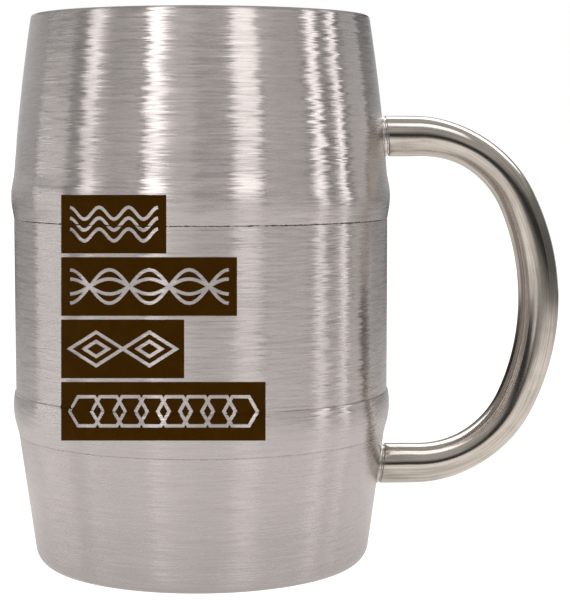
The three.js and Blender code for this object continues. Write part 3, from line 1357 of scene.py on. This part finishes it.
@dataclass
class Print:
    """Four dark bars of ink with bare ornaments, thrown flat on the barrel from in front of it.

    Attributes:
        barrel: What they are printed on.
        distance: Distance in front of the barrel's axis from which the artwork is thrown.
        height: Height of that point above the foot.
        pitch: How far the throw points down.
        yaw: How far it points towards the handle.
        art_distance: Distance from that point to the plane in which the artwork is drawn.
        left: Left end of all bars in that plane.
        rights: Right end of each bar.
        top: Top of the highest bar.
        bar_height: Height of a bar.
        row_step: From the top of one bar to the top of the next.
        film: Thickness of the ink.
        gap: What is left between ink and steel.
        stroke: Width of an ornament's lines.
        motif_height: Height of an ornament.
        motif_margin: Ink left at both ends of it.
        motifs: The bars' ornaments.
        slice_step: Width of the strips that let a bar follow the barrel.
        cutter_depth: Thickness of the solids that cut an ornament.
        bridge: How far on both sides of a crease the film starts to span it.
        ripple_length: Length of one ripple, like the next three a share of the ornament's height.
        ripple_swing: How far a ripple swings to either side.
        braid_length: Length of one twist of the braid.
        diamond_width: Width of a diamond.
        hexagon_step: From one hexagon to the next, a share of a hexagon's width.
        inner_share: Size of the inner strands and diamonds against the outer ones.
        search: Shares of the throw between which the barrel's surface is sought.
        halvings: How many times that stretch is halved.
    """

    barrel: Barrel
    distance: float = 415.15 * MM
    height: float = 94.16 * MM
    pitch: float = math.radians(4.987)
    yaw: float = math.radians(2.54)
    art_distance: float = 374.2 * MM
    left: float = -44.52 * MM
    rights: tuple = (-23.65 * MM, -9.54 * MM, -20.07 * MM, -3.86 * MM)
    top: float = 20.9 * MM
    bar_height: float = 11.63 * MM
    row_step: float = 12.41 * MM
    film: float = 0.12 * MM
    gap: float = 0.01 * MM
    stroke: float = 0.72 * MM
    motif_height: float = 7.4 * MM
    motif_margin: float = 1.6 * MM
    motifs: tuple = (Motif.RIPPLES, Motif.BRAID, Motif.DIAMONDS, Motif.HEXAGONS)
    slice_step: float = 0.6 * MM
    cutter_depth: float = 4 * MM
    bridge: float = 0.4 * MM
    ripple_length: float = 0.8
    ripple_swing: float = 0.16
    braid_length: float = 1.9
    diamond_width: float = 1.2
    hexagon_step: float = 0.625
    inner_share: float = 0.45
    search: Point = (0.8, 1.12)
    halvings: int = 40

    def throw_point(self) -> Vector:
        """The point that the artwork is thrown from."""
        return Vector((0, -self.distance, self.height + FOOT_Z))

    def aim(self) -> Matrix:
        """Turns the artwork's own axes into the frame's."""
        return Euler((-self.pitch, 0, -self.yaw), "XYZ").to_matrix()

    def cutter(self, points: Sequence[Vector]) -> bpy.types.Object:
        """A stroke of the ornament as a solid that passes right through the film.

        Args:
            points: The stroke's centre line in the artwork's plane.

        Returns:
            The solid.
        """
        back = Vector((0, self.cutter_depth / 2, 0))
        piece = seed_point("stroke", points[0] - back)
        draw_line([p - back for p in points])
        bpy.ops.mesh.select_all(action="SELECT")
        bpy.ops.mesh.remove_doubles(threshold=MERGE)
        bpy.ops.mesh.select_all(action="SELECT")
        extrude((0, self.cutter_depth, 0))
        bpy.ops.object.mode_set(mode="OBJECT")
        add_modifier(
            piece, "stroke", "SOLIDIFY", thickness=self.stroke, offset=0, use_even_offset=True
        )
        apply_modifiers(piece)
        with editing(piece):
            bpy.ops.mesh.normals_make_consistent(inside=False)
        return piece

    def strokes(self, motif: Motif, left: float, right: float, middle: float) -> list[list[Vector]]:
        """Centre lines of an ornament that fills a bar from end to end.

        Args:
            motif: Which ornament.
            left: Left end of the ornament.
            right: Right end of the ornament.
            middle: Height of its centre.

        Returns:
            One list of points for each stroke.
        """
        half = self.motif_height / 2 - self.stroke / 2
        length = right - left
        inner = self.inner_share

        def at(x: float, up: float) -> Vector:
            """A point of the artwork's plane."""
            return Vector((left + x, 0, middle + up))

        def wave(up: float, swing: float, waves: int, steps: int = 20) -> list[Vector]:
            """A wavy line at a height, with a swing to either side and a number of full waves."""
            count = waves * steps
            turns = [FULL_TURN * i / steps for i in range(count + 1)]
            return [at(length * i / count, up + swing * math.cos(a)) for i, a in enumerate(turns)]

        if motif is Motif.RIPPLES:
            waves = round(length / (self.ripple_length * self.motif_height))
            swing = self.ripple_swing * self.motif_height
            return [wave(up, swing, waves) for up in (swing - half, 0, half - swing)]
        if motif is Motif.BRAID:
            waves = round(length / (self.braid_length * self.motif_height))
            return [wave(0, half * share, waves) for share in (1, -1, inner, -inner)]
        if motif is Motif.DIAMONDS:
            count = round(length / (self.diamond_width * self.motif_height))
            wide = length / count
            lines = []
            for middle_x in (wide * (i + 0.5) for i in range(count)):
                for share in (1, inner):
                    out, up = wide / 2 * share, half * share
                    corners = [(-out, 0), (0, up), (out, 0), (0, -up), (-out, 0)]
                    lines.append([at(middle_x + x, z) for x, z in corners])
            return lines
        count = round((length - 2 * half) / (self.hexagon_step * 2 * half))
        step = (length - 2 * half) / count
        turns = [FULL_TURN / 6 * k for k in range(7)]
        return [
            [at(half + step * i + half * math.cos(a), half * math.sin(a)) for a in turns]
            for i in range(count + 1)
        ]

    def slab(self, name: str, right: float, top: float) -> bpy.types.Object:
        """A flat bar of film in the artwork's plane.

        Args:
            name: Name of the new piece.
            right: Its right end.
            top: Its top.

        Returns:
            The bar.
        """
        deselect()
        centre = ((self.left + right) / 2, 0, top - self.bar_height / 2)
        bpy.ops.mesh.primitive_cube_add(
            size=1, location=centre, scale=(right - self.left, self.film, self.bar_height)
        )
        return take_new(name)

    def carve(self, piece: bpy.types.Object, motif: Motif, right: float, top: float) -> None:
        """Cuts an ornament out of a bar.

        Args:
            piece: The flat bar.
            motif: Which ornament.
            right: The bar's right end.
            top: The bar's top.
        """
        middle = top - self.bar_height / 2
        lines = self.strokes(motif, self.left + self.motif_margin, right - self.motif_margin, middle)
        for points in lines:
            cutter = self.cutter(points)
            add_modifier(
                piece, "ornament", "BOOLEAN", operation="DIFFERENCE", solver="EXACT", object=cutter
            )
            apply_modifiers(piece)
            bpy.data.objects.remove(cutter)

    def slice_up(self, piece: bpy.types.Object, right: float, top: float) -> None:
        """Cuts a bar into narrow strips both ways, so that it can follow the barrel.

        Args:
            piece: The flat bar.
            right: Its right end.
            top: Its top.
        """
        across = int((right - self.left) / self.slice_step)
        down = int(self.bar_height / self.slice_step)
        planes = [((self.left + (right - self.left) * i / across, 0, 0), (1, 0, 0)) for i in range(1, across)]
        planes += [((0, 0, top - self.bar_height * i / down), (0, 0, 1)) for i in range(1, down)]
        with editing(piece):
            for place, normal in planes:
                bpy.ops.mesh.select_all(action="SELECT")
                cut_along(place, normal)

    def land(self, x: float, z: float, offset: float) -> Vector:
        """Where a point of the artwork lands on the barrel.

        Args:
            x: Place across the artwork.
            z: Place up the artwork.
            offset: Height above the barrel's surface.

        Returns:
            The point on, or just above, the surface.
        """
        origin = self.throw_point()
        ray = self.aim() @ Vector((x, self.art_distance, z))
        outside, inside = self.search
        for _ in range(self.halvings):
            middle = (outside + inside) / 2
            point = origin + ray * middle
            limit = self.barrel.radius_at(point.z - FOOT_Z) + offset
            if math.hypot(point.x, point.y) > limit:
                outside = middle
            else:
                inside = middle
        return origin + ray * outside

    def wrap(self, piece: bpy.types.Object) -> None:
        """Throws a flat bar on the barrel; no operator throws from a point, so its vertices are moved.

        Args:
            piece: The flat bar, which gets a mark on its front for settle.
        """
        front = piece.data.attributes.new("front", "FLOAT", "POINT")
        for vertex in piece.data.vertices:
            is_front = vertex.co.y < 0
            front.data[vertex.index].value = float(is_front)
            vertex.co = self.land(vertex.co.x, vertex.co.z, self.film if is_front else self.gap)

    def bed(self, z: float) -> float:
        """Finds what the film lies on: the barrel, with its creases partly bridged.

        Args:
            z: Height above the foot.

        Returns:
            The radius there.
        """
        radius_at = self.barrel.radius_at
        return max(radius_at(z), (radius_at(z - self.bridge) + radius_at(z + self.bridge)) / 2)

    def settle(self, piece: bpy.types.Object) -> None:
        """Cuts a thrown bar at both creases and beds it down on the barrel.

        Args:
            piece: The thrown bar.
        """
        half = self.barrel.groove_half
        with editing(piece):
            for crease in (self.barrel.lower_crease, self.barrel.upper_crease):
                for z in (crease - half, crease, crease + half):
                    bpy.ops.mesh.select_all(action="SELECT")
                    cut_along((0, 0, z + FOOT_Z), (0, 0, 1))
        front = piece.data.attributes["front"]
        for vertex in piece.data.vertices:
            z = vertex.co.z - FOOT_Z
            is_front = front.data[vertex.index].value > 0.5
            radius = self.bed(z) + self.film if is_front else self.barrel.radius_at(z) + self.gap
            flat = Vector((vertex.co.x, vertex.co.y)).normalized() * radius
            vertex.co = (flat.x, flat.y, vertex.co.z)
        piece.data.attributes.remove(front)
        smooth(piece, 30)

    def build(self, finish: bpy.types.Material) -> None:
        """Makes the four bars and dresses them.

        Args:
            finish: The ink.
        """
        for i, (right, motif) in enumerate(zip(self.rights, self.motifs)):
            top = self.top - i * self.row_step
            piece = self.slab(f"ink_bar_{motif.value}", right, top)
            self.carve(piece, motif, right, top)
            self.slice_up(piece, right, top)
            self.wrap(piece)
            self.settle(piece)
            hand_over(piece, finish, "print", f"printed_bar_{i + 1}")


# ---- studio ---------------------------------------------------------------------------------
WALLS = ("barrel_shell", "cup_liner", "foot_plate")
BRUSHED = (*WALLS, "rolled_lip")
BENT = ("handle_bent_tube", "upper_weld_pad", "lower_weld_pad", "upper_end_plate", "lower_end_plate")
WARM = (1.0, 0.98, 0.97)
COOL = (0.94, 0.98, 1.05)


@dataclass
class Softbox:
    """A rectangular light that faces the mug.

    Attributes:
        name: The light's name.
        azimuth: Direction in degrees, 0 in front of the mug and 90 on the handle's side.
        low: Lowest direction of its face in degrees above the mug's middle.
        high: Highest direction of its face; past 90 it lies behind the mug.
        width: Width seen from the mug, in degrees.
        radiance: Brightness of its face.
        only: Names of the pieces that it lights, or None for all.
        distance: How far away it stands.
        tint: Its colour.
        aim_height: Height of the point that it faces, near the mug's middle.
    """

    name: str
    azimuth: float
    low: float
    high: float
    width: float
    radiance: float
    only: tuple | None
    distance: float
    tint: tuple
    aim_height: float = 0.06

    def across(self, angle: float) -> float:
        """Length of its face that fills an angle in degrees."""
        return 2 * self.distance * math.tan(math.radians(angle / 2))

    def build(self) -> None:
        """Adds the light."""
        azimuth, elevation = math.radians(self.azimuth), math.radians((self.low + self.high) / 2)
        flat = math.cos(elevation)
        direction = Vector((math.sin(azimuth) * flat, -math.cos(azimuth) * flat, math.sin(elevation)))
        data = bpy.data.lights.new(self.name, "AREA")
        data.shape = "RECTANGLE"
        data.size = self.across(self.width)
        data.size_y = self.across(self.high - self.low)
        data.energy = self.radiance * math.pi * data.size * data.size_y
        data.color = self.tint
        light = bpy.data.objects.new(self.name, data)
        light.location = direction * self.distance + Vector((0, 0, self.aim_height))
        light.rotation_euler = direction.to_track_quat("Z", "Y").to_euler()
        light.visible_camera = False
        bpy.context.scene.collection.objects.link(light)
        if self.only:
            lit = bpy.data.collections.new(f"lit_by_{self.name}")
            for piece in self.only:
                lit.objects.link(bpy.data.objects[piece])
            light.light_linking.receiver_collection = lit


def softboxes() -> list[Softbox]:
    """All the lights: each row gives a name, azimuth, low, high, width and radiance.

    Returns:
        The lights, group by group, each group with its pieces, distance and tint.
    """
    groups = (
        (BRUSHED, 0.7, WARM, (
            ("strip_far_left", -72, 8, 40, 10, 2.0),
            ("strip_left", -29, 12, 56, 9.5, 3.0),
            ("strip_right", 28, 12, 42, 15, 2.1),
            ("strip_far_right", 75.5, 4, 30, 6.5, 3.0),
            ("strip_side", 94, 0, 30, 4.5, 3.2),
            ("fill_left", -50, 0, 13, 26, 0.8),
            ("fill_front", -14, 0, 26, 18, 0.55),
            ("fill_right", 52, 3, 22, 26, 0.6),
            ("fill_side", 113, 0, 16, 22, 0.8),
            ("fill_back_right", 148, 0, 12, 50, 0.42),
            ("fill_back_left", -150, 0, 20, 60, 0.52),
            ("fill_far_left", -99, 0, 13, 42, 0.3),
            ("fill_middle", 5, 0, 26, 20, 0.25),
        )),
        (None, 0.9, WARM, (("horizon_left", -102, 0, 6, 30, 2.4),)),
        (WALLS, 1.5, WARM, (("overhead_brushed", 0, 62, 88, 60, 2.4),)),
        (BENT, 1.5, COOL, (
            ("overhead_handle", 0, 59, 80, 60, 1.3),
            ("overhead_back", 0, 118, 144, 100, 2.2),
        )),
        (BENT, 0.6, WARM, (("low_front_handle", -18, -5, 0, 20, 0.7),)),
        (BENT, 0.9, WARM, (
            ("back_right_handle", 155, -5, 15, 40, 0.6),
            ("right_handle", 100, -5, 15, 70, 0.1),
        )),
    )
    return [Softbox(*row, *shared) for *shared, rows in groups for row in rows]


@dataclass
class Studio:
    """Pale floor, pale surroundings, soft lights and the camera.

    Attributes:
        floor_size: Side of the floor.
        floor_drop: How far it lies below the foot.
        floor_tone: Grey of the floor.
        floor_glow: Light that it gives off near the mug.
        floor_far: Light that it gives off far away.
        floor_seen: Least light that the camera sees from it.
        floor_bright: What the camera sees on top of that.
        floor_fade: Distances between which the light fades.
        floor_shade: Share of the light that is left beside the foot.
        shade_reach: Distances between which that shade fades.
        floor_back: Share of the light that is left behind the mug.
        back_reach: Distances behind the mug between which that shade sets in.
        floor_tint: Colour of the floor's light.
        room_tint: Colour of the room's.
        room_low: Light of the room at the horizon.
        room_high: Light of the room above.
        room_rise: Heights of direction between which it grows.
        lens: Focal length in millimetres.
        sensor: Width of the camera's sensor in millimetres.
        lights: The soft lights.
    """

    floor_size: float = 60
    floor_drop: float = 0.02 * MM
    floor_tone: float = 0.2
    floor_glow: float = 0.88
    floor_far: float = 0.05
    floor_seen: float = 0.88
    floor_bright: float = 0.28
    floor_fade: Point = (0.2, 0.9)
    floor_shade: float = 0.72
    shade_reach: Point = (0.035, 0.095)
    floor_back: float = 0.72
    back_reach: Point = (0.02, 0.14)
    floor_tint: tuple = (1, 0.965, 0.94, 1)
    room_tint: tuple = (1, 0.97, 0.94, 1)
    room_low: float = 0.03
    room_high: float = 0.45
    room_rise: Point = (0.16, 0.44)
    lens: float = 112.9
    sensor: float = 36
    lights: list[Softbox] = field(default_factory=softboxes)

    def floor(self) -> None:
        """A wide pale floor, darker beside and behind the mug and far away, but never to the camera."""
        deselect()
        place = (0, 0, FOOT_Z - self.floor_drop)
        bpy.ops.mesh.primitive_plane_add(size=self.floor_size, location=place)
        piece = bpy.context.object
        piece.name = "studio_floor"
        made, n = new_material("pale_floor")
        place = n.place()
        far = n.vector("LENGTH", place)
        behind = n.add("SeparateXYZ", {"Vector": place}).outputs["Y"]
        shade = n.ramp(far, *self.shade_reach, self.floor_shade, 1)
        shade = n.math("MULTIPLY", shade, n.ramp(behind, *self.back_reach, 1, self.floor_back))
        glow = n.ramp(far, *self.floor_fade, self.floor_glow, self.floor_far)
        camera = n.add("LightPath").outputs["Is Camera Ray"]
        near = n.math("MAXIMUM", n.math("MULTIPLY", shade, glow), n.scale(camera, self.floor_seen))
        n.principled(
            Base_Color=(self.floor_tone, self.floor_tone, self.floor_tone, 1),
            Emission_Color=self.floor_tint,
            Emission_Strength=n.math("ADD", near, n.scale(camera, self.floor_bright)),
            Roughness=0.9,
            Specular_IOR_Level=0,
        )
        piece.data.materials.append(made)

    def surroundings(self) -> None:
        """White for the camera; in reflections a grey room, dark at the horizon and lighter above."""
        world = bpy.data.worlds.new("studio")
        bpy.context.scene.world = world
        world.use_nodes = True
        n = Nodes(world.node_tree)
        direction = n.add("TexCoord").outputs["Generated"]
        up = n.add("SeparateXYZ", {"Vector": direction}).outputs["Z"]
        strength = n.ramp(up, *self.room_rise, self.room_low, self.room_high)
        room = n.add("Background", {"Color": self.room_tint, "Strength": strength})
        white = n.add("Background", {"Color": (1, 1, 1, 1)})
        mix = n.add("MixShader")
        sources = (n.add("LightPath").outputs["Is Camera Ray"], room.outputs[0], white.outputs[0])
        for source, target in zip(sources, mix.inputs):
            n.join(source, target)
        n.join(mix.outputs[0], n.add("OutputWorld").inputs[0])

    def camera(self, printed: Print) -> None:
        """Sets the camera at the point that the artwork is thrown from.

        Args:
            printed: The print, which knows that point and its aim.
        """
        data = bpy.data.cameras.new("camera")
        data.lens = self.lens
        data.sensor_width = self.sensor
        data.clip_start = 10 * MM
        camera = bpy.data.objects.new("camera", data)
        camera.location = printed.throw_point()
        camera.rotation_euler = (math.pi / 2 - printed.pitch, 0, -printed.yaw)
        bpy.context.scene.collection.objects.link(camera)
        bpy.context.scene.camera = camera

    def build(self, printed: Print) -> None:
        """Builds the whole studio.

        Args:
            printed: The print, for the camera's place.
        """
        self.camera(printed)
        self.floor()
        self.surroundings()
        for light in self.lights:
            light.build()
        bpy.context.scene.view_settings.view_transform = "Standard"
        LOG.info("built the studio with %d lights", len(self.lights))


def main() -> None:
    """Builds the mug and the studio."""
    barrel = Barrel()
    # Painted shade: a strong dark line in the upper crease and a faint one where the lower cone turns into
    # the lower hoop's lead.
    strong, faint = 0.85, 0.3
    crease_shade = ((barrel.upper_crease + FOOT_Z, strong), (barrel.lead_height + FOOT_Z, faint))
    brushed = BrushedSteel("brushed_barrel", crease_shade=crease_shade).material()
    edge = BrushedSteel("brushed_lip").material()
    satin = BrushedSteel("satin_liner", anisotropy=0.6, lean=0.1, depth=0.15).material()
    polished = PolishedSteel("polished_handle", satin=(70, 1700, 1), streaks=True).material()
    bright = PolishedSteel("bright_weld", light=(0.85, 0.83, 0.81, 1), roughness=0.22).material()
    ink = InkFilm("brown_ink").material()

    printed = Print(barrel)
    barrel.build(brushed)
    Cup(barrel).build(satin, edge)
    Base(barrel).build(satin, bright)
    Handle(barrel).build(polished, bright)
    printed.build(ink)
    Studio().build(printed)


if __name__ == "__main__":
    main()
